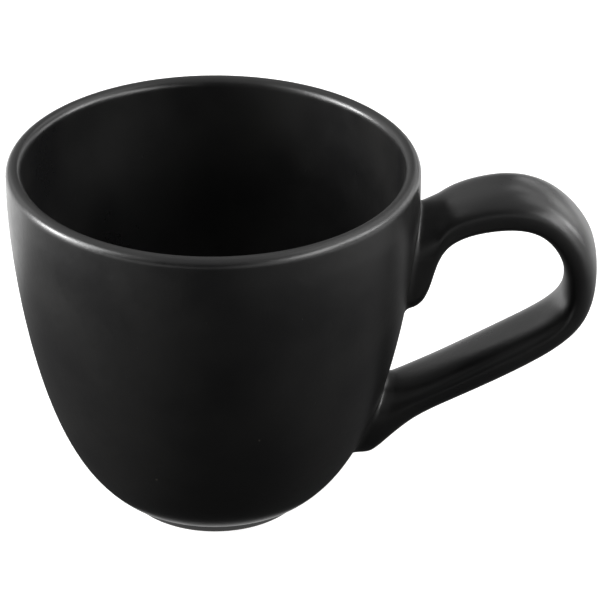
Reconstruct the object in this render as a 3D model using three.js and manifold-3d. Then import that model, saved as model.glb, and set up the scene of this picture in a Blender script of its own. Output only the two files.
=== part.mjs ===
import * as THREE from 'three';
import { mergeVertices } from 'three/addons/utils/BufferGeometryUtils.js';
import Module from 'manifold-3d';

// A stoneware mug with a strap handle, in millimetres, +Z up, standing on z = 0.
// The bowl, the foot ring and the handle are made one by one and luted together
// with thin layers of slip, which fire hard and become the mug's joints.

const wasm = await Module();
wasm.setup();

// Driving dimensions of the bowl
const RIM_RADIUS = 47.5;
const HEIGHT = 87;
const LIP_WIDTH = 3.8;
const LIP_HEIGHT = 2.2;
const LIP_POWER = 2.25; // 2 gives an oval top, more gives a flatter one
const STRAIGHT_FROM = 80; // above this height the wall is upright
const FLOOR_HEIGHT = 9;
const UNDERSIDE_HEIGHT = 4.2;
const UNDERSIDE_RADIUS = 23.5;
const TURN_UNDER_ANGLE = 1.232; // radians round the wall's curve, from the rim down

// The wall's outline is a superellipse quarter with these two powers
const HEIGHT_POWER = 1.54;
const RADIUS_POWER = 3.8;
const OUTER_DEPTH = 81.3; // the depth at which the outer curve would reach the axis

// Driving dimensions of the foot ring
const FOOT_OUTER_RADIUS = 21.9;
const FOOT_INNER_RADIUS = 17.5;
const FOOT_EDGE = 0.3; // bevel on both edges of the contact face
const FOOT_TOP_FLARE = 0.5;

// Driving dimensions of the joints
const JOINT_GAP = 0.3;
const SLIP_THICKNESS = 1;
const SLIP_LEDGE = 0.7; // how far the slip stands out round a handle end

// Driving dimensions of the handle
const HANDLE_REACH = 88.8; // from the mug's axis to the handle's far side
const STRAP_HALF_WIDTH = 9;
const STRAP_POWER = 2.35; // 2 gives an oval section, more gives squarer corners

// Rungs across the handle, seen from the side, from the upper end round to the lower.
// Each has the strap's outer and inner edge as [distance from the mug's axis, height].
// The first and last rungs lie inside the wall, where the strap is cut to fit it.
const HANDLE_RUNGS = [
  { outer: [42, 73], inner: [40, 50] },
  { outer: [48.5, 76.6], inner: [46.6, 50.8] },
  { outer: [52, 78.3], inner: [50, 56.6] },
  { outer: [56.5, 80.4], inner: [53.5, 66.8] },
  { outer: [67, 82.8], inner: [63.5, 71.5] },
  { outer: [78, 80], inner: [74, 71] },
  { outer: [86, 72], inner: [80, 64.5] },
  { outer: [88.8, 62.5], inner: [81.5, 57.5] },
  { outer: [86.5, 48.5], inner: [79, 50.5] },
  { outer: [74, 37], inner: [67.5, 43] },
  { outer: [58, 28], inner: [53.5, 35] },
  { outer: [46.5, 21], inner: [46.5, 31.5] },
  { outer: [38.5, 13], inner: [43.5, 30.5] },
  { outer: [34.5, 11], inner: [41.5, 30] },
  { outer: [28, 10.5], inner: [36, 29.5] },
];
const UPPER_END = [0, 0.27]; // the stretch of the handle that holds the upper joint
const LOWER_END = [0.73, 1];

// How finely the solids are faceted
const ROUND_SEGMENTS = 64;
const WALL_STEPS = 12;
const LIP_STEPS = 8;
const STRAP_STEPS = 52;
const SECTION_STEPS = 20;

// The mug stands so that the middle of its whole length is over the origin
const AXIS_X = (RIM_RADIUS - HANDLE_REACH) / 2;

const LIP_START = HEIGHT - LIP_HEIGHT;
const INNER_RIM_RADIUS = RIM_RADIUS - LIP_WIDTH;
const INNER_DEPTH = STRAIGHT_FROM - FLOOR_HEIGHT;

// Turns the sine or cosine of a circle into that of a superellipse
function roundedWave(value, power) {
  return Math.sign(value) * Math.abs(value) ** (2 / power);
}

// A point of a wall's curve: angle 0 is at the top, and a right angle is on the axis
function wallPoint(angle, rimRadius, depth) {
  const radius = rimRadius * Math.cos(angle) ** (2 / RADIUS_POWER);
  const drop = depth * Math.sin(angle) ** (2 / HEIGHT_POWER);
  return new THREE.Vector2(radius, STRAIGHT_FROM - drop);
}

// The outside of the wall from the underside up to the lip
function outerWall() {
  const points = [];
  for (let step = WALL_STEPS; step >= 0; step -= 1) {
    points.push(wallPoint((TURN_UNDER_ANGLE * step) / WALL_STEPS, RIM_RADIUS, OUTER_DEPTH));
  }
  points.push(new THREE.Vector2(RIM_RADIUS, LIP_START));
  return points;
}

// The short bend from the flat underside out to the wall
function underside() {
  const flatEdge = new THREE.Vector2(UNDERSIDE_RADIUS, UNDERSIDE_HEIGHT);
  const wallFoot = wallPoint(TURN_UNDER_ANGLE, RIM_RADIUS, OUTER_DEPTH);
  const corner = new THREE.Vector2((flatEdge.x + wallFoot.x * 2) / 3, UNDERSIDE_HEIGHT);
  const bend = new THREE.QuadraticBezierCurve(flatEdge, corner, wallFoot).getPoints(4);
  return [new THREE.Vector2(0, UNDERSIDE_HEIGHT), ...bend.slice(0, -1)];
}

// The rounded top of the rim, from its outer side over to its inner side
function lip() {
  const points = [];
  for (let step = 1; step < LIP_STEPS; step += 1) {
    const angle = (Math.PI * step) / LIP_STEPS;
    const across = (LIP_WIDTH / 2) * roundedWave(Math.cos(angle), LIP_POWER);
    const rise = LIP_HEIGHT * roundedWave(Math.sin(angle), LIP_POWER);
    points.push(new THREE.Vector2(RIM_RADIUS - LIP_WIDTH / 2 + across, LIP_START + rise));
  }
  return points;
}

// The inside of the wall, from the lip down to the middle of the floor
function innerWall() {
  const points = [new THREE.Vector2(INNER_RIM_RADIUS, LIP_START)];
  for (let step = 0; step < WALL_STEPS; step += 1) {
    points.push(wallPoint((Math.PI / 2) * (step / WALL_STEPS), INNER_RIM_RADIUS, INNER_DEPTH));
  }
  points.push(new THREE.Vector2(0, FLOOR_HEIGHT));
  return points;
}

function roundSolid(outline) {
  return new THREE.LatheGeometry(outline, ROUND_SEGMENTS).rotateX(Math.PI / 2);
}

function bowlGeometry() {
  return roundSolid([...underside(), ...outerWall(), ...lip(), ...innerWall()]);
}

// A solid of revolution that stands out from the wall by a distance, used for cutting
function wallCutter(distance) {
  const wall = outerWall();
  const grown = wall.map((point, index) => {
    const before = wall[Math.max(index - 1, 0)];
    const after = wall[Math.min(index + 1, wall.length - 1)];
    const along = after.clone().sub(before).normalize();
    return new THREE.Vector2(point.x + along.y * distance, point.y - along.x * distance);
  });
  const top = new THREE.Vector2(0, LIP_START);
  const bottom = new THREE.Vector2(0, grown[0].y);
  return toSolid(roundSolid([bottom, ...grown, top]));
}

function footJointGeometry() {
  const high = UNDERSIDE_HEIGHT - JOINT_GAP;
  const outline = [
    new THREE.Vector2(FOOT_INNER_RADIUS - FOOT_TOP_FLARE, high - SLIP_THICKNESS),
    new THREE.Vector2(FOOT_OUTER_RADIUS + FOOT_TOP_FLARE, high - SLIP_THICKNESS),
    new THREE.Vector2(FOOT_OUTER_RADIUS + FOOT_TOP_FLARE + SLIP_LEDGE, high),
    new THREE.Vector2(FOOT_INNER_RADIUS - FOOT_TOP_FLARE - SLIP_LEDGE, high),
  ];
  return roundSolid([...outline, outline[0].clone()]);
}

// The foot ring widens a little towards the bowl and has bevelled edges on the table
function footRingGeometry() {
  const high = UNDERSIDE_HEIGHT - JOINT_GAP * 2 - SLIP_THICKNESS;
  const outline = [
    new THREE.Vector2(FOOT_INNER_RADIUS + FOOT_EDGE, 0),
    new THREE.Vector2(FOOT_OUTER_RADIUS - FOOT_EDGE, 0),
    new THREE.Vector2(FOOT_OUTER_RADIUS, FOOT_EDGE),
    new THREE.Vector2(FOOT_OUTER_RADIUS + FOOT_TOP_FLARE, high),
    new THREE.Vector2(FOOT_INNER_RADIUS - FOOT_TOP_FLARE, high),
    new THREE.Vector2(FOOT_INNER_RADIUS, FOOT_EDGE),
  ];
  return roundSolid([...outline, outline[0].clone()]);
}

// One closed line of points round the strap, between its outer and inner edge
function strapSection(outer, inner, grow) {
  const middle = outer.clone().add(inner).multiplyScalar(0.5);
  const across = outer.clone().sub(inner).multiplyScalar(0.5);
  across.setLength(across.length() + grow);
  const points = [];
  for (let step = 0; step < SECTION_STEPS; step += 1) {
    const angle = (2 * Math.PI * step) / SECTION_STEPS;
    const side = roundedWave(Math.cos(angle), STRAP_POWER);
    const up = roundedWave(Math.sin(angle), STRAP_POWER);
    const place = middle.clone().addScaledVector(across, up);
    points.push(new THREE.Vector3(place.x, (STRAP_HALF_WIDTH + grow) * side, place.y));
  }
  return points;
}

// The strap along part of its length, made larger all round by grow
function strapGeometry([from, to], grow) {
  const outerEdge = new THREE.SplineCurve(HANDLE_RUNGS.map((rung) => new THREE.Vector2(...rung.outer)));
  const innerEdge = new THREE.SplineCurve(HANDLE_RUNGS.map((rung) => new THREE.Vector2(...rung.inner)));
  const steps = Math.ceil(STRAP_STEPS * (to - from));
  const places = [];
  for (let step = 0; step <= steps; step += 1) {
    const part = from + ((to - from) * step) / steps;
    places.push(...strapSection(outerEdge.getPoint(part), innerEdge.getPoint(part), grow));
  }
  return loftGeometry(places, steps);
}

// Joins equal rings of points, one after the other, and closes both ends
function loftGeometry(places, steps) {
  const faces = [];
  for (let ring = 0; ring < steps; ring += 1) {
    for (let step = 0; step < SECTION_STEPS; step += 1) {
      const here = ring * SECTION_STEPS + step;
      const next = ring * SECTION_STEPS + ((step + 1) % SECTION_STEPS);
      faces.push(here, next, here + SECTION_STEPS);
      faces.push(next, next + SECTION_STEPS, here + SECTION_STEPS);
    }
  }
  const lastRing = steps * SECTION_STEPS;
  for (let step = 1; step < SECTION_STEPS - 1; step += 1) {
    faces.push(0, step + 1, step);
    faces.push(lastRing, lastRing + step, lastRing + step + 1);
  }
  const geometry = new THREE.BufferGeometry().setFromPoints(places);
  geometry.setIndex(faces);
  return geometry;
}

function toSolid(geometry) {
  geometry.deleteAttribute('normal');
  geometry.deleteAttribute('uv');
  const merged = mergeVertices(geometry, 1e-4);
  return new wasm.Manifold(new wasm.Mesh({
    numProp: 3,
    vertProperties: new Float32Array(merged.attributes.position.array),
    triVerts: new Uint32Array(merged.index.array),
  }));
}

function toGeometry(solid) {
  const mesh = solid.getMesh();
  const geometry = new THREE.BufferGeometry();
  geometry.setAttribute('position', new THREE.BufferAttribute(mesh.vertProperties, 3));
  geometry.setIndex(new THREE.BufferAttribute(mesh.triVerts, 1));
  return geometry;
}

// The handle is the whole strap, cut back from the wall to leave room for the slip
function handleGeometry() {
  const strap = toSolid(strapGeometry([0, 1], 0));
  return toGeometry(strap.subtract(wallCutter(JOINT_GAP * 2 + SLIP_THICKNESS)));
}

// The slip between one handle end and the wall, a little larger than that end
function handleJointGeometry(stretch) {
  const end = toSolid(strapGeometry(stretch, SLIP_LEDGE));
  const layer = wallCutter(JOINT_GAP + SLIP_THICKNESS).subtract(wallCutter(JOINT_GAP));
  return toGeometry(end.intersect(layer));
}

const glaze = { color: 0x191919, roughness: 0.42, metalness: 0 };
const bareClay = { color: 0x4a4541, roughness: 0.9, metalness: 0 };
const mug = new THREE.Group();
mug.position.x = AXIS_X;

function addPiece(name, geometry, look) {
  const piece = new THREE.Mesh(geometry, new THREE.MeshStandardMaterial(look));
  piece.name = name;
  mug.add(piece);
}

addPiece('cup_body', bowlGeometry(), glaze);
addPiece('foot_ring', footRingGeometry(), bareClay);
addPiece('foot_joint', footJointGeometry(), glaze);
addPiece('handle', handleGeometry(), glaze);
addPiece('upper_handle_joint', handleJointGeometry(UPPER_END), glaze);
addPiece('lower_handle_joint', handleJointGeometry(LOWER_END), glaze);

export default mug;
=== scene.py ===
"""A stoneware mug in satin black glaze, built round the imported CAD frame. Lengths are in metres."""

import math

import bmesh
import bpy
from mathutils import Matrix, Vector


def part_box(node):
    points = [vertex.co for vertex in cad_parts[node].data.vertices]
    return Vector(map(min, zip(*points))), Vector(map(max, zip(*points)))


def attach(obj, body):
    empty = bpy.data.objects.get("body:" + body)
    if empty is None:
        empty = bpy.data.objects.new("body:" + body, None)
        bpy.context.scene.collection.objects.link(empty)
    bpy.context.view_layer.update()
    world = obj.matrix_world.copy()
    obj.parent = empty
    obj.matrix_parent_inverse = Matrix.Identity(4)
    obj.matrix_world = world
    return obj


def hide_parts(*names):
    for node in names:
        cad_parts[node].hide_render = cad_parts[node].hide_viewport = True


MM = 0.001

# Each face of the wall is a superellipse quarter with these two powers, and is upright above it.
# The outer one's depth goes on down past the underside, and stops at an angle to turn in to it.
HEIGHT_POWER = 1.54
RADIUS_POWER = 3.8
STRAIGHT_FROM = 80 * MM
OUTER_DEPTH = 81.3 * MM
TURN_UNDER_ANGLE = 1.232
FLOOR_HEIGHT = 9 * MM
UNDERSIDE_RADIUS = 23.5 * MM

# The lip is a superellipse's upper half
LIP_WIDTH = 3.8 * MM
LIP_HEIGHT = 2.2 * MM
LIP_POWER = 2.25

# The foot ring's sides flare as they rise, a fifth of the way by the waist and fully at the top
FOOT_INNER_RADIUS = 17.5 * MM
FOOT_EDGE = 0.4 * MM
FOOT_FLARE = 0.5 * MM
FOOT_WAIST_SHARE = 0.6
FOOT_SHORT_OF_BOWL = 0.8 * MM
BARE_CLAY_BELOW = 0.3 * MM

# The handle's rungs, from its upper end round to its lower end, in millimetres:
# the strap's outer and inner edge, each as (distance from the mug's axis, height)
HANDLE_RUNGS = [
    ((42, 73), (40, 50)),
    ((48.5, 76.6), (46.6, 50.8)),
    ((52, 78.3), (50, 56.6)),
    ((56.5, 80.4), (53.5, 66.8)),
    ((67, 82.8), (63.5, 71.5)),
    ((78, 80), (74, 71)),
    ((86, 72), (80, 64.5)),
    ((88.8, 62.5), (81.5, 57.5)),
    ((86.5, 48.5), (79, 50.5)),
    ((74, 37), (67.5, 43)),
    ((58, 28), (53.5, 35)),
    ((46.5, 21), (46.5, 31.5)),
    ((38.5, 13), (43.5, 30.5)),
    ((34.5, 11), (41.5, 30)),
    ((28, 10.5), (36, 29.5)),
]
STRAP_HALF_WIDTH = 9 * MM
STRAP_POWER = 2.35
STRAP_SUNK = 0.2 * MM

# Each end's shares of the strap's length: one inside the wall, and one well outside it
UPPER_END = (0.0, 0.27)
LOWER_END = (1.0, 0.73)

# The slip smoothed into the creases at the handle's ends
FILLET_UP_STRAP = 1.5 * MM
FILLET_ON_WALL = 1.3 * MM
FILLET_DEPTH = 0.6 * MM

# The slip round the foot: how far it reaches out and down, how far it laps into the bowl,
# and how far its lower edges are from the ring's top outer radius and from its inner radius
FOOT_FILLET_REACH = 1.3 * MM
FOOT_FILLET_DROP = 1.2 * MM
FOOT_FILLET_LAP = 0.1 * MM
FOOT_FILLET_INSET = 0.3 * MM
FOOT_FILLET_OUTSET = 0.2 * MM

# Mesh resolution, and how often a search halves its range
ROUND_SEGMENTS = 256
UNDERSIDE_STEPS = 12
WALL_STEPS = 72
STRAIGHT_STEPS = 6
LIP_STEPS = 40
STRAP_STEPS = 260
SECTION_STEPS = 72
CURVE_STEPS = 8
HALVINGS = 40

# The camera, with its angles in degrees and its lens in millimetres
CAMERA_TILT = 29.59
CAMERA_ROLL = 0.51
CAMERA_LENS = 180
CAMERA_FILM_WIDTH = 36
CAMERA_FROM_AXIS = (20 * MM, -611.3 * MM, 398 * MM)

FLOOR_HALF_WIDTH = 4

# The studio's light panels: name, turn and rise in degrees, distance, width, height, brightness
PANELS = [
    ("left_wide", 188, 8, 1.0, 0.7, 0.42, 8),
    ("left_bright", 180, 18, 1.0, 0.3, 0.3, 36),
    ("left_high", 196, 30, 1.0, 0.42, 0.5, 9),
    ("right_high", 0, 30, 1.0, 0.42, 0.42, 5),
    ("right_bright", 0, 20, 1.0, 0.3, 0.2, 12),
    ("right_front", 320, 20, 0.4, 0.15, 0.15, 7),
    ("right_front_far", 335, 28, 0.6, 0.2, 0.2, 6),
    ("right_back", 30, 20, 0.4, 0.15, 0.15, 2.8),
    ("right_top", 15, 56, 1.0, 0.6, 0.5, 1.3),
    ("back_low", 60, 20, 1.0, 0.6, 0.2, 1.7),
    ("back_high", 60, 45, 1.0, 0.5, 0.3, 1.1),
    ("back_left", 140, 30, 1.0, 0.6, 0.5, 0.6),
    ("front_low", 300, 8, 1.0, 0.5, 0.2, 1.1),
]

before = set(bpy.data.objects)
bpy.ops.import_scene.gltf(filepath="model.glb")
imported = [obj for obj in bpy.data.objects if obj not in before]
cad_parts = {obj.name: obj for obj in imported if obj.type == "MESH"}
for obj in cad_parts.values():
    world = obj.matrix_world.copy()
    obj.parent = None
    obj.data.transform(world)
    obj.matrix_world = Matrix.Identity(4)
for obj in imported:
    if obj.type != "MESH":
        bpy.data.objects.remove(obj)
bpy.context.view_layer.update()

cup_low, cup_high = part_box("cup_body")
foot_low, foot_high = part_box("foot_ring")
AXIS_X = (cup_low.x + cup_high.x) / 2
RIM_RADIUS = (cup_high.x - cup_low.x) / 2
HEIGHT = cup_high.z
UNDERSIDE_HEIGHT = cup_low.z
LIP_START = HEIGHT - LIP_HEIGHT
INNER_RIM_RADIUS = RIM_RADIUS - LIP_WIDTH
FOOT_TOP_RADIUS = (foot_high.x - foot_low.x) / 2

# Round patches of painted light and painted shade in the floor's glow, seen only in reflections:
# centre, distances where the edge's fade starts and ends, brightness at both
PAINTED_LIGHT_PATCHES = [
    # Painted shade in front of the mug, with painted light glowing further out
    ((0, -0.2, 0), (0.25, 0.37), (0, 0.5)),
    # Painted light: a pale glowing patch at the back left
    ((-0.17, 0.17, 0), (0.085, 0.12), (0.85, 0)),
    # Painted light: a bright glowing disc on the floor right under the mug's foot
    ((AXIS_X, 0, 0), (0.0225, 0.0265), (1, 0)),
]

# Glows in the world round the studio: direction, brightness
GLOWS = [
    ((0, 0, 1), 0.5),
    ((-1, 0.6, 0.2), 0.65),
    ((1, 0.3, 0.5), 0.3),
]


# ---------- curves ----------


def rounded_wave(value, power):
    """Turns the sine or cosine of a circle into that of a superellipse, squarer above power 2."""
    return math.copysign(abs(value) ** (2 / power), value)


def bezier(start, control, end, share):
    """A point of the curve that leaves start and reaches end, drawn towards control."""
    back = 1 - share
    weights = (back * back, 2 * back * share, share * share)
    return tuple(
        a * weights[0] + b * weights[1] + c * weights[2] for a, b, c in zip(start, control, end)
    )


def curve(start, control, end):
    """Points along such a curve, with both of its ends."""
    return [bezier(start, control, end, step / CURVE_STEPS) for step in range(CURVE_STEPS + 1)]


def quarter_circle(centre, radius, start):
    """Points round a quarter circle, anticlockwise from a start angle in degrees."""
    points = []
    for step in range(CURVE_STEPS + 1):
        angle = math.radians(start + 90 * step / CURVE_STEPS)
        points.append((centre[0] + radius * math.cos(angle), centre[1] + radius * math.sin(angle)))
    return points


def bends(values):
    """The second derivatives of a natural cubic spline through evenly spaced values."""
    count = len(values)
    upper = [0.0] * count
    right = [0.0] * count
    for index in range(1, count - 1):
        pull = 6 * (values[index - 1] - 2 * values[index] + values[index + 1])
        scale = 4 - upper[index - 1]
        upper[index] = 1 / scale
        right[index] = (pull - right[index - 1]) / scale
    for index in range(count - 2, 0, -1):
        right[index] -= upper[index] * right[index + 1]
    return right


def smooth_curve(points):
    """A function that gives the point of a smooth curve through points at a share from 0 to 1."""
    columns = [list(column) for column in zip(*points)]
    curvatures = [bends(column) for column in columns]
    last = len(points) - 1

    def at(share):
        place = min(max(share, 0), 1) * last
        index = min(int(place), last - 1)
        ahead = place - index
        back = 1 - ahead
        result = []
        for values, bend in zip(columns, curvatures):
            value = back * values[index] + ahead * values[index + 1]
            value += (back**3 - back) * bend[index] / 6
            value += (ahead**3 - ahead) * bend[index + 1] / 6
            result.append(value)
        return Vector(result)

    return at


# ---------- the bowl's outline, as (radius, height) ----------


def wall_point(angle, rim_radius, depth):
    """A point of a wall's curve: angle 0 is its top, and a right angle is on the axis."""
    radius = rim_radius * max(math.cos(angle), 0) ** (2 / RADIUS_POWER)
    drop = depth * math.sin(angle) ** (2 / HEIGHT_POWER)
    return radius, STRAIGHT_FROM - drop


def wall_radius(height):
    """The outside radius of the wall at a height."""
    share = min(max(STRAIGHT_FROM - height, 0) / OUTER_DEPTH, 1)
    return RIM_RADIUS * (1 - share**HEIGHT_POWER) ** (1 / RADIUS_POWER)


def underside():
    """From the axis out to the wall, with a soft turn at the end. The wall has the last point."""
    wall_foot = wall_point(TURN_UNDER_ANGLE, RIM_RADIUS, OUTER_DEPTH)
    corner = ((UNDERSIDE_RADIUS + wall_foot[0] * 2) / 3, UNDERSIDE_HEIGHT)
    points = []
    for step in range(UNDERSIDE_STEPS):
        points.append((UNDERSIDE_RADIUS * step / UNDERSIDE_STEPS, UNDERSIDE_HEIGHT))
    return points + curve((UNDERSIDE_RADIUS, UNDERSIDE_HEIGHT), corner, wall_foot)[:-1]


def outer_wall():
    """Up the outside to the start of the lip."""
    points = []
    for step in range(WALL_STEPS, -1, -1):
        points.append(wall_point(TURN_UNDER_ANGLE * step / WALL_STEPS, RIM_RADIUS, OUTER_DEPTH))
    for step in range(1, STRAIGHT_STEPS + 1):
        height = STRAIGHT_FROM + (LIP_START - STRAIGHT_FROM) * step / STRAIGHT_STEPS
        points.append((RIM_RADIUS, height))
    return points


def lip():
    """Over the lip, from its outside to its inside, without its two end points."""
    points = []
    for step in range(1, LIP_STEPS):
        angle = math.pi * step / LIP_STEPS
        across = rounded_wave(math.cos(angle), LIP_POWER) * LIP_WIDTH / 2
        rise = rounded_wave(math.sin(angle), LIP_POWER) * LIP_HEIGHT
        points.append((RIM_RADIUS - LIP_WIDTH / 2 + across, LIP_START + rise))
    return points


def inner_wall():
    """Down the inside to the middle of the floor."""
    depth = STRAIGHT_FROM - FLOOR_HEIGHT
    points = []
    for step in range(STRAIGHT_STEPS):
        height = LIP_START + (STRAIGHT_FROM - LIP_START) * step / STRAIGHT_STEPS
        points.append((INNER_RIM_RADIUS, height))
    for step in range(WALL_STEPS):
        points.append(wall_point(math.pi / 2 * step / WALL_STEPS, INNER_RIM_RADIUS, depth))
    points.append((0, FLOOR_HEIGHT))
    return points


# ---------- meshes ----------


def finish_piece(name, mesh_data, node, materials):
    """Makes the object from a bmesh, turned outside out, shaded smooth and put in the frame."""
    bmesh.ops.recalc_face_normals(mesh_data, faces=mesh_data.faces)
    mesh = bpy.data.meshes.new(name)
    mesh_data.to_mesh(mesh)
    mesh_data.free()
    for polygon in mesh.polygons:
        polygon.use_smooth = True
    mesh.set_sharp_from_angle(angle=math.radians(40))
    for material in materials:
        mesh.materials.append(material)
    piece = bpy.data.objects.new(name, mesh)
    bpy.context.scene.collection.objects.link(piece)
    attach(piece, "root")
    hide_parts(node)
    return piece


def turned(outline, closed):
    """A solid of revolution round the mug's axis. An outline that isn't closed ends on the axis."""
    mesh_data = bmesh.new()
    rings = []
    for radius, height in outline:
        if radius < 1e-7:
            rings.append([mesh_data.verts.new((AXIS_X, 0, height))])
            continue
        ring = []
        for step in range(ROUND_SEGMENTS):
            angle = 2 * math.pi * step / ROUND_SEGMENTS
            place = (AXIS_X + radius * math.cos(angle), radius * math.sin(angle), height)
            ring.append(mesh_data.verts.new(place))
        rings.append(ring)
    pairs = list(zip(rings, rings[1:]))
    if closed:
        pairs.append((rings[-1], rings[0]))
    for low, high in pairs:
        bridge(mesh_data, low, high)
    return mesh_data


def bridge(mesh_data, low, high):
    """Fills the band between two rings, where either may be a single point."""
    count = max(len(low), len(high))
    for step in range(count):
        after = (step + 1) % count
        corners = [low[step % len(low)], low[after % len(low)]]
        corners += [high[after % len(high)], high[step % len(high)]]
        mesh_data.faces.new(list(dict.fromkeys(corners)))


def strap_line(outer_edge, inner_edge, side, up):
    """A function that gives the place along one line of the strap, at a share of its length."""

    def at(share):
        outer = outer_edge(share)
        inner = inner_edge(share)
        flat = ((outer + inner) / 2 + (outer - inner) / 2 * up) * MM
        return Vector((AXIS_X + flat.x, side, flat.y))

    return at


def strap_lines():
    """The strap's lines, one for each step round its section."""
    outer_edge = smooth_curve([rung[0] for rung in HANDLE_RUNGS])
    inner_edge = smooth_curve([rung[1] for rung in HANDLE_RUNGS])
    lines = []
    for step in range(SECTION_STEPS):
        angle = 2 * math.pi * step / SECTION_STEPS
        side = rounded_wave(math.cos(angle), STRAP_POWER) * STRAP_HALF_WIDTH
        up = rounded_wave(math.sin(angle), STRAP_POWER)
        lines.append(strap_line(outer_edge, inner_edge, side, up))
    return lines


def off_wall(place):
    """How far a place is outside the wall, measured level."""
    return math.hypot(place.x - AXIS_X, place.y) - wall_radius(place.z)


def share_at_wall(line, end, distance):
    """Where along the strap a line comes within a distance of the wall, near one of its ends."""
    inside, outside = end
    for _ in range(HALVINGS):
        middle = (inside + outside) / 2
        if off_wall(line(middle)) < distance:
            inside = middle
        else:
            outside = middle
    return (inside + outside) / 2


def build_handle(material):
    """The strap, from just inside the wall at one end to just inside it at the other."""
    mesh_data = bmesh.new()
    lines = strap_lines()
    starts = [share_at_wall(line, UPPER_END, -STRAP_SUNK) for line in lines]
    ends = [share_at_wall(line, LOWER_END, -STRAP_SUNK) for line in lines]
    rings = []
    for step in range(STRAP_STEPS + 1):
        along = step / STRAP_STEPS
        ring = []
        for line, start, end in zip(lines, starts, ends):
            ring.append(mesh_data.verts.new(line(start + (end - start) * along)))
        rings.append(ring)
    for low, high in zip(rings, rings[1:]):
        bridge(mesh_data, low, high)
    for ring in (rings[0], rings[-1]):
        middle = sum((vertex.co for vertex in ring), Vector()) / len(ring)
        bridge(mesh_data, ring, [mesh_data.verts.new(middle)])
    return finish_piece("handle_strap", mesh_data, "handle", [material])


def wall_normal(place):
    """The outward direction of the wall near a place."""
    step = 0.1 * MM
    slope = (wall_radius(place.z + step) - wall_radius(place.z - step)) / (2 * step)
    outward = Vector((place.x - AXIS_X, place.y, 0)).normalized()
    return (outward - Vector((0, 0, slope))).normalized()


def onto_wall(place):
    """The place moved level onto the wall."""
    flat = Vector((place.x - AXIS_X, place.y, 0)).normalized() * wall_radius(place.z)
    return Vector((AXIS_X + flat.x, flat.y, place.z))


def build_handle_joint(name, node, end, material):
    """The slip round one end of the handle: a hollow fillet from the strap down to the wall."""
    mesh_data = bmesh.new()
    lines = strap_lines()
    feet = [line(share_at_wall(line, end, 0)) for line in lines]
    middle = sum(feet, Vector()) / len(feet)
    rings = []
    for index, line in enumerate(lines):
        foot = feet[index]
        along = feet[(index + 1) % len(feet)] - feet[index - 1]
        normal = wall_normal(foot)
        away = along.cross(normal).normalized()
        if away.dot(foot - middle) < 0:
            away = -away
        top = line(share_at_wall(line, end, FILLET_UP_STRAP))
        side = onto_wall(foot + away * FILLET_ON_WALL)
        ring = [Vector(place) for place in curve(top, foot, side)]
        ring.append(side - normal * FILLET_DEPTH)
        ring.append(foot - normal * FILLET_DEPTH - away * FILLET_DEPTH)
        ring.append(top - away * FILLET_DEPTH)
        rings.append([mesh_data.verts.new(place) for place in ring])
    for low, high in zip(rings, rings[1:] + rings[:1]):
        bridge(mesh_data, low, high)
    return finish_piece(name, mesh_data, node, [material])


def build_bowl(material):
    mesh_data = turned(underside() + outer_wall() + lip() + inner_wall(), closed=False)
    return finish_piece("bowl", mesh_data, "cup_body", [material])


def build_foot(glaze, clay):
    """The foot ring, flared at its top: glazed down its sides, wiped bare where it meets the table."""
    outer = FOOT_TOP_RADIUS - FOOT_FLARE
    inner = FOOT_INNER_RADIUS
    top = UNDERSIDE_HEIGHT - FOOT_SHORT_OF_BOWL
    waist = top * FOOT_WAIST_SHARE
    outline = quarter_circle((outer - FOOT_EDGE, FOOT_EDGE), FOOT_EDGE, -90)
    outline += [(outer + FOOT_FLARE / 5, waist), (outer + FOOT_FLARE, top)]
    outline += [(inner - FOOT_FLARE, top), (inner - FOOT_FLARE / 5, waist)]
    outline += quarter_circle((inner + FOOT_EDGE, FOOT_EDGE), FOOT_EDGE, 180)
    mesh_data = turned(outline, closed=True)
    for face in mesh_data.faces:
        face.material_index = 1 if face.calc_center_median().z < BARE_CLAY_BELOW else 0
    return finish_piece("foot", mesh_data, "foot_ring", [glaze, clay])


def build_foot_joint(material):
    """The slip between the foot and the bowl: a hollow fillet outside the ring and one inside it."""
    outer = FOOT_TOP_RADIUS - FOOT_FILLET_INSET
    inner = FOOT_INNER_RADIUS - FOOT_FILLET_OUTSET
    low = UNDERSIDE_HEIGHT - FOOT_FILLET_DROP
    high = UNDERSIDE_HEIGHT + FOOT_FILLET_LAP
    outline = curve((outer, low), (outer, high), (outer + FOOT_FILLET_REACH, high))
    outline += curve((inner - FOOT_FILLET_REACH, high), (inner, high), (inner, low))
    mesh_data = turned(outline, closed=True)
    return finish_piece("foot_slip", mesh_data, "foot_joint", [material])


# ---------- materials ----------


def new_material(name):
    """A new material, its node tree, its shader, and the output that gives places on the piece."""
    material = bpy.data.materials.new(name)
    material.use_nodes = True
    tree = material.node_tree
    place = tree.nodes.new("ShaderNodeTexCoord").outputs["Object"]
    return material, tree, tree.nodes["Principled BSDF"], place


def mapped(tree, value, from_range, to_range):
    """A node output that carries value from one range into another, and stops at its ends."""
    ramp = tree.nodes.new("ShaderNodeMapRange")
    ramp.interpolation_type = "SMOOTHSTEP"
    ramp.inputs["From Min"].default_value = from_range[0]
    ramp.inputs["From Max"].default_value = from_range[1]
    ramp.inputs["To Min"].default_value = to_range[0]
    ramp.inputs["To Max"].default_value = to_range[1]
    tree.links.new(value, ramp.inputs["Value"])
    return ramp.outputs["Result"]


def feed(tree, socket, source):
    """Joins a node output to a socket, or sets the socket to a number or a colour."""
    if isinstance(source, bpy.types.NodeSocket):
        tree.links.new(source, socket)
    else:
        socket.default_value = source


def math_node(tree, operation, *values):
    """A node output that works out one value from others, which may be node outputs or numbers."""
    node = tree.nodes.new("ShaderNodeMath")
    node.operation = operation
    for socket, value in zip(node.inputs, values):
        feed(tree, socket, value)
    return node.outputs["Value"]


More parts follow.
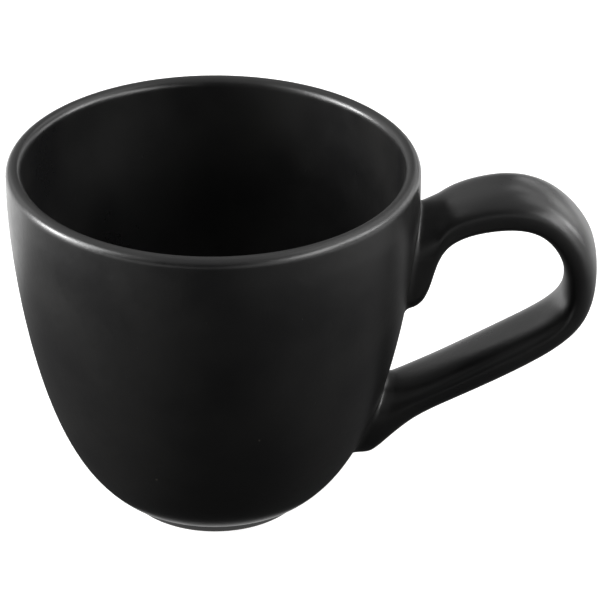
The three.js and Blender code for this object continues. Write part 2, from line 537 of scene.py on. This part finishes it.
def vector_node(tree, operation, place, other):
    """A node output that measures a place against another: its distance, or their dot product."""
    node = tree.nodes.new("ShaderNodeVectorMath")
    node.operation = operation
    tree.links.new(place, node.inputs[0])
    node.inputs[1].default_value = other
    return node.outputs["Value"]


def noise(tree, place, scale, detail):
    """Soft random variation: a larger scale makes it finer."""
    node = tree.nodes.new("ShaderNodeTexNoise")
    node.inputs["Scale"].default_value = scale
    node.inputs["Detail"].default_value = detail
    tree.links.new(place, node.inputs["Vector"])
    return node.outputs["Fac"]


def dots(tree, place, scale, size, share):
    """Small round dots: 1 inside a dot, where only a share of the cells has one."""
    cells = tree.nodes.new("ShaderNodeTexVoronoi")
    cells.inputs["Scale"].default_value = scale
    tree.links.new(place, cells.inputs["Vector"])
    chance = tree.nodes.new("ShaderNodeSeparateColor")
    tree.links.new(cells.outputs["Color"], chance.inputs["Color"])
    chosen = math_node(tree, "LESS_THAN", chance.outputs["Red"], share)
    inside = mapped(tree, cells.outputs["Distance"], (size * 0.5, size), (1, 0))
    return math_node(tree, "MULTIPLY", inside, chosen)


def bump(tree, height, distance, strength, before=None):
    """A normal that makes height stand out, on top of the normal from before if there is one."""
    node = tree.nodes.new("ShaderNodeBump")
    node.inputs["Distance"].default_value = distance
    node.inputs["Strength"].default_value = strength
    tree.links.new(height, node.inputs["Height"])
    if before:
        tree.links.new(before, node.inputs["Normal"])
    return node.outputs["Normal"]


def blend(tree, share, first, second):
    """A node output that goes from one colour to another. Each may be a node output itself."""
    mix = tree.nodes.new("ShaderNodeMix")
    mix.data_type = "RGBA"
    feed(tree, mix.inputs["Factor"], share)
    feed(tree, mix.inputs["A"], first)
    feed(tree, mix.inputs["B"], second)
    return mix.outputs["Result"]


def glaze_material():
    """Satin black glaze: uneven sheen, fine orange peel, a few pinholes and pale specks."""
    material, tree, shader, place = new_material("satin_black_glaze")

    clouds = noise(tree, place, 38, 4)
    mottle = noise(tree, place, 420, 3)
    sheen = math_node(tree, "ADD", clouds, math_node(tree, "MULTIPLY", mottle, 0.35))
    feed(tree, shader.inputs["Roughness"], mapped(tree, sheen, (0.4, 0.95), (0.27, 0.375)))

    tone = mapped(tree, clouds, (0.3, 0.7), (0, 1))
    ground = blend(tree, tone, (0.0048, 0.0048, 0.005, 1), (0.0075, 0.0074, 0.0072, 1))
    specks = dots(tree, place, 210, 0.07, 0.1)
    feed(tree, shader.inputs["Base Color"], blend(tree, specks, ground, (0.045, 0.041, 0.036, 1)))

    hand = bump(tree, noise(tree, place, 45, 1), 0.05 * MM, 0.6)
    peel = bump(tree, noise(tree, place, 900, 3), 0.03 * MM, 0.7, hand)
    pits = math_node(tree, "MULTIPLY", dots(tree, place, 330, 0.09, 0.12), -1)
    feed(tree, shader.inputs["Normal"], bump(tree, pits, 0.05 * MM, 0.7, peel))
    return material


def clay_material():
    """Bare fired clay: dark grey brown, matt and grainy, with a little pale grit."""
    material, tree, shader, place = new_material("bare_clay")

    grain = noise(tree, place, 1300, 4)
    patches = noise(tree, place, 90, 3)
    tone = mapped(tree, math_node(tree, "ADD", grain, patches), (0.7, 1.3), (0, 1))
    ground = blend(tree, tone, (0.05, 0.044, 0.039, 1), (0.095, 0.084, 0.074, 1))
    grit = dots(tree, place, 900, 0.25, 0.12)
    feed(tree, shader.inputs["Base Color"], blend(tree, grit, ground, (0.22, 0.2, 0.17, 1)))

    feed(tree, shader.inputs["Roughness"], mapped(tree, grain, (0.3, 0.7), (0.8, 0.95)))
    feed(tree, shader.inputs["Normal"], bump(tree, grain, 0.06 * MM, 0.6))
    return material


# ---------- stage, lights and camera ----------


def floor_painted_light(tree):
    """How brightly each place of the floor glows to the glaze, as painted light and painted shade:
    dark near the mug, with soft pale glowing patches laid round.
    """
    place = tree.nodes.new("ShaderNodeNewGeometry").outputs["Position"]
    split = tree.nodes.new("ShaderNodeSeparateXYZ")
    feed(tree, split.inputs["Vector"], place)
    to_the_right = math_node(tree, "SUBTRACT", split.outputs["X"], AXIS_X)
    aside = math_node(tree, "ABSOLUTE", to_the_right)
    # Painted shade: the floor glows dimmest right beside the mug and more with distance from it
    light = mapped(tree, aside, (0, 0.12), (0.03, 0.11))
    # Painted light: the floor glows far out to each side and behind the mug
    far_sides = mapped(tree, aside, (0.1, 0.4), (0, 0.9))
    behind = mapped(tree, split.outputs["Y"], (0.07, 0.16), (0, 0.5))
    painted_glow = [far_sides, behind]
    for centre, fade, brightness in PAINTED_LIGHT_PATCHES:
        away = vector_node(tree, "DISTANCE", place, centre)
        painted_glow.append(mapped(tree, away, fade, brightness))
    for card in painted_glow:
        light = math_node(tree, "ADD", light, card)
    return light


def build_floor():
    """The camera alone sees a plain white floor. All other rays see it glow with painted light and
    painted shade: dark, with pale patches on it.
    """
    mesh_data = bmesh.new()
    bmesh.ops.create_grid(mesh_data, x_segments=8, y_segments=8, size=FLOOR_HALF_WIDTH)
    mesh = bpy.data.meshes.new("floor")
    mesh_data.to_mesh(mesh)
    mesh_data.free()
    floor = bpy.data.objects.new("floor", mesh)
    bpy.context.scene.collection.objects.link(floor)

    material = bpy.data.materials.new("pale_floor")
    material.use_nodes = True
    tree = material.node_tree
    seen = tree.nodes["Principled BSDF"]
    seen.inputs["Base Color"].default_value = (0.4, 0.4, 0.4, 1)
    seen.inputs["Roughness"].default_value = 1
    seen.inputs["Emission Color"].default_value = (1, 1, 1, 1)
    seen.inputs["Emission Strength"].default_value = 0.85
    # Painted light and painted shade: the floor's glow, seen by every ray but the camera's
    painted_glow = tree.nodes.new("ShaderNodeEmission")
    feed(tree, painted_glow.inputs["Strength"], floor_painted_light(tree))

    ray = tree.nodes.new("ShaderNodeLightPath")
    mix = tree.nodes.new("ShaderNodeMixShader")
    feed(tree, mix.inputs["Fac"], ray.outputs["Is Camera Ray"])
    feed(tree, mix.inputs[1], painted_glow.outputs["Emission"])
    feed(tree, mix.inputs[2], seen.outputs["BSDF"])
    feed(tree, tree.nodes["Material Output"].inputs["Surface"], mix.outputs["Shader"])
    mesh.materials.append(material)


def build_camera():
    """The camera looks level along +Y, and is then tilted down and rolled a little."""
    tilt = math.radians(CAMERA_TILT)
    roll = math.radians(CAMERA_ROLL)
    data = bpy.data.cameras.new("camera")
    data.lens = CAMERA_LENS
    data.sensor_width = CAMERA_FILM_WIDTH
    camera = bpy.data.objects.new("camera", data)
    turn = Matrix.Rotation(math.pi / 2 - tilt, 4, "X") @ Matrix.Rotation(roll, 4, "Z")
    place = Matrix.Translation(Vector((AXIS_X, 0, 0)) + Vector(CAMERA_FROM_AXIS))
    camera.matrix_world = place @ turn
    bpy.context.scene.collection.objects.link(camera)
    bpy.context.scene.camera = camera


def soft_light(name, turn, rise, distance, width, height, brightness):
    """A panel that faces the mug from a direction (degrees from +X, and up), lit to a brightness."""
    data = bpy.data.lights.new(name, "AREA")
    data.shape = "RECTANGLE"
    data.size = width
    data.size_y = height
    data.energy = brightness * math.pi * width * height
    light = bpy.data.objects.new(name, data)
    aim = Vector((AXIS_X, 0, HEIGHT / 2))
    level = math.cos(math.radians(rise)) * distance
    across = Vector((math.cos(math.radians(turn)), math.sin(math.radians(turn)), 0)) * level
    up = Vector((0, 0, math.sin(math.radians(rise)) * distance))
    light.location = aim + across + up
    light.rotation_euler = (aim - light.location).to_track_quat("-Z", "Y").to_euler()
    light.visible_camera = False
    bpy.context.scene.collection.objects.link(light)


def glow(tree, place, direction, brightness):
    """Light from round a direction of the world, fading out towards its sides."""
    towards = vector_node(tree, "DOT_PRODUCT", place, Vector(direction).normalized())
    return mapped(tree, towards, (0.25, 0.97), (0, brightness))


def build_world():
    """A dark studio that is lighter overhead, at the back left and at the right."""
    world = bpy.data.worlds.new("studio")
    world.use_nodes = True
    tree = world.node_tree
    background = tree.nodes["Background"]
    background.inputs["Color"].default_value = (1, 1, 1, 1)
    place = tree.nodes.new("ShaderNodeTexCoord").outputs["Generated"]
    light = 0
    for direction, brightness in GLOWS:
        light = math_node(tree, "ADD", light, glow(tree, place, direction, brightness))
    feed(tree, background.inputs["Strength"], light)
    bpy.context.scene.world = world
    bpy.context.scene.view_settings.view_transform = "Standard"


build_camera()
glaze = glaze_material()
clay = clay_material()
build_bowl(glaze)
build_handle(glaze)
build_handle_joint("upper_slip", "upper_handle_joint", UPPER_END, glaze)
build_handle_joint("lower_slip", "lower_handle_joint", LOWER_END, glaze)
build_foot(glaze, clay)
build_foot_joint(glaze)
build_floor()
build_world()
for panel in PANELS:
    soft_light(*panel)
